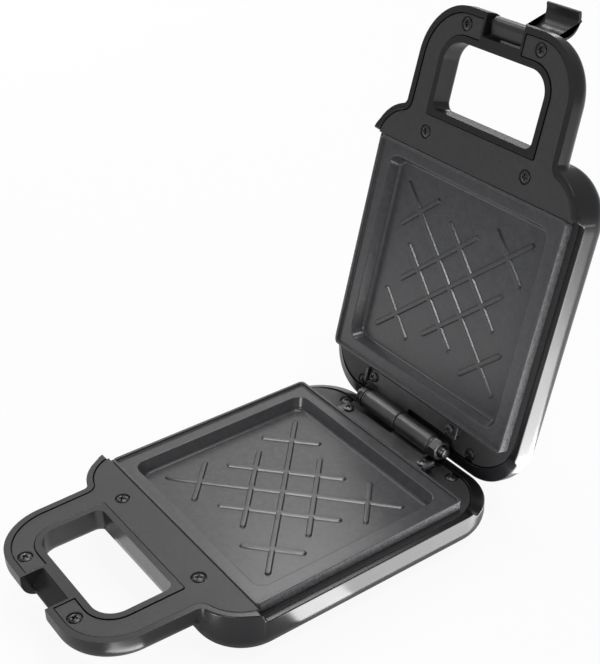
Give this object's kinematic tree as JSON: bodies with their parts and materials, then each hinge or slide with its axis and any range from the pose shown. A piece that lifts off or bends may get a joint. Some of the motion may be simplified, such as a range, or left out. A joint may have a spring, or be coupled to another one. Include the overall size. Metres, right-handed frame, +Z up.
{
  "type": "sandwich toaster",
  "caption": "Hinged sandwich toaster: base and lid shells with rimmed, diagonally ribbed non-stick plates, grip handles, a J-shaped latch clip and a rear barrel hinge.",
  "frame": {"origin": "centre of the outer box's footprint, on the plane the feet stand on", "axes": "+Z up; -Y towards the base's handle, where the user stands; +X to the user's right; the rear hinge runs along X"},
  "size_m": [0.1448, 0.3042, 0.2313],
  "materials": {
    "gloss_black": "gloss",
    "satin_black": "satin",
    "nonstick": "dark non-stick coating, satin",
    "tray_steel": "plain sheet",
    "element_steel": "heat-darkened sheath",
    "ceramic": "matte",
    "lead_sleeve": "woven heat sleeve, matte",
    "dark_steel": "dark satin",
    "blackened_screw": "blackened",
    "foot_rubber": "matte",
    "red_lens": "gloss",
    "green_lens": "gloss"
  },
  "bodies": {
    "base": {"base_housing": "gloss_black", "base_inner_frame": "satin_black", "base_plate": "nonstick", "base_reflector": "tray_steel", "base_heating_element": "element_steel", "base_thermostat": "ceramic", "thermal_fuse": "ceramic", "terminal_block": "ceramic", "lead_element_to_fuse": "lead_sleeve", "lead_fuse_to_terminals": "lead_sleeve", "lead_terminals_to_element": "lead_sleeve", "base_hinge_leaf": "dark_steel", "base_grip_screw_left": "blackened_screw", "base_grip_screw_right": "blackened_screw", "base_neck_screw_left": "blackened_screw", "base_neck_screw_right": "blackened_screw", "base_rear_screw_left": "blackened_screw", "base_rear_screw_right": "blackened_screw", "base_hinge_screw_left": "dark_steel", "base_hinge_screw_right": "dark_steel", "base_plate_screw_1": "tray_steel", "base_plate_screw_2": "tray_steel", "base_plate_screw_3": "tray_steel", "base_plate_screw_4": "tray_steel", "hinge_bolt": "dark_steel", "hinge_washer_left": "dark_steel", "hinge_washer_right": "dark_steel", "hinge_nut": "dark_steel", "cord_gland": "foot_rubber", "foot_front_left": "foot_rubber", "foot_front_right": "foot_rubber", "foot_rear_left": "foot_rubber", "foot_rear_right": "foot_rubber"},
    "lid": {"lid_housing": "gloss_black", "lid_inner_frame": "satin_black", "lid_plate": "nonstick", "lid_reflector": "tray_steel", "lid_heating_element": "element_steel", "lid_thermal_cutout": "ceramic", "lamp_lead_left": "lead_sleeve", "lamp_lead_right": "lead_sleeve", "lid_hinge_leaf": "dark_steel", "lid_grip_screw_left": "blackened_screw", "lid_grip_screw_right": "blackened_screw", "lid_neck_screw_left": "blackened_screw", "lid_neck_screw_right": "blackened_screw", "lid_rear_screw_left": "blackened_screw", "lid_rear_screw_right": "blackened_screw", "lid_hinge_screw_left": "dark_steel", "lid_hinge_screw_right": "dark_steel", "lid_plate_screw_1": "tray_steel", "lid_plate_screw_2": "tray_steel", "lid_plate_screw_3": "tray_steel", "lid_plate_screw_4": "tray_steel", "latch_pin": "dark_steel", "power_lamp_lens": "red_lens", "ready_lamp_lens": "green_lens", "lamp_holder": "ceramic"},
    "latch": {"latch_clip": "gloss_black"}
  },
  "joints": [
    {"name": "lid_hinge", "type": "hinge", "parent": "base", "child": "lid", "pos_m": [0, 0.0565, 0.0304], "axis": [1, 0, 0], "range_deg": [0, 105]},
    {"name": "latch_hinge", "type": "hinge", "parent": "lid", "child": "latch", "pos_m": [0, 0.11732, 0.22572], "axis": [1, 0, 0], "range_deg": [0, 168.5]}
  ]
}
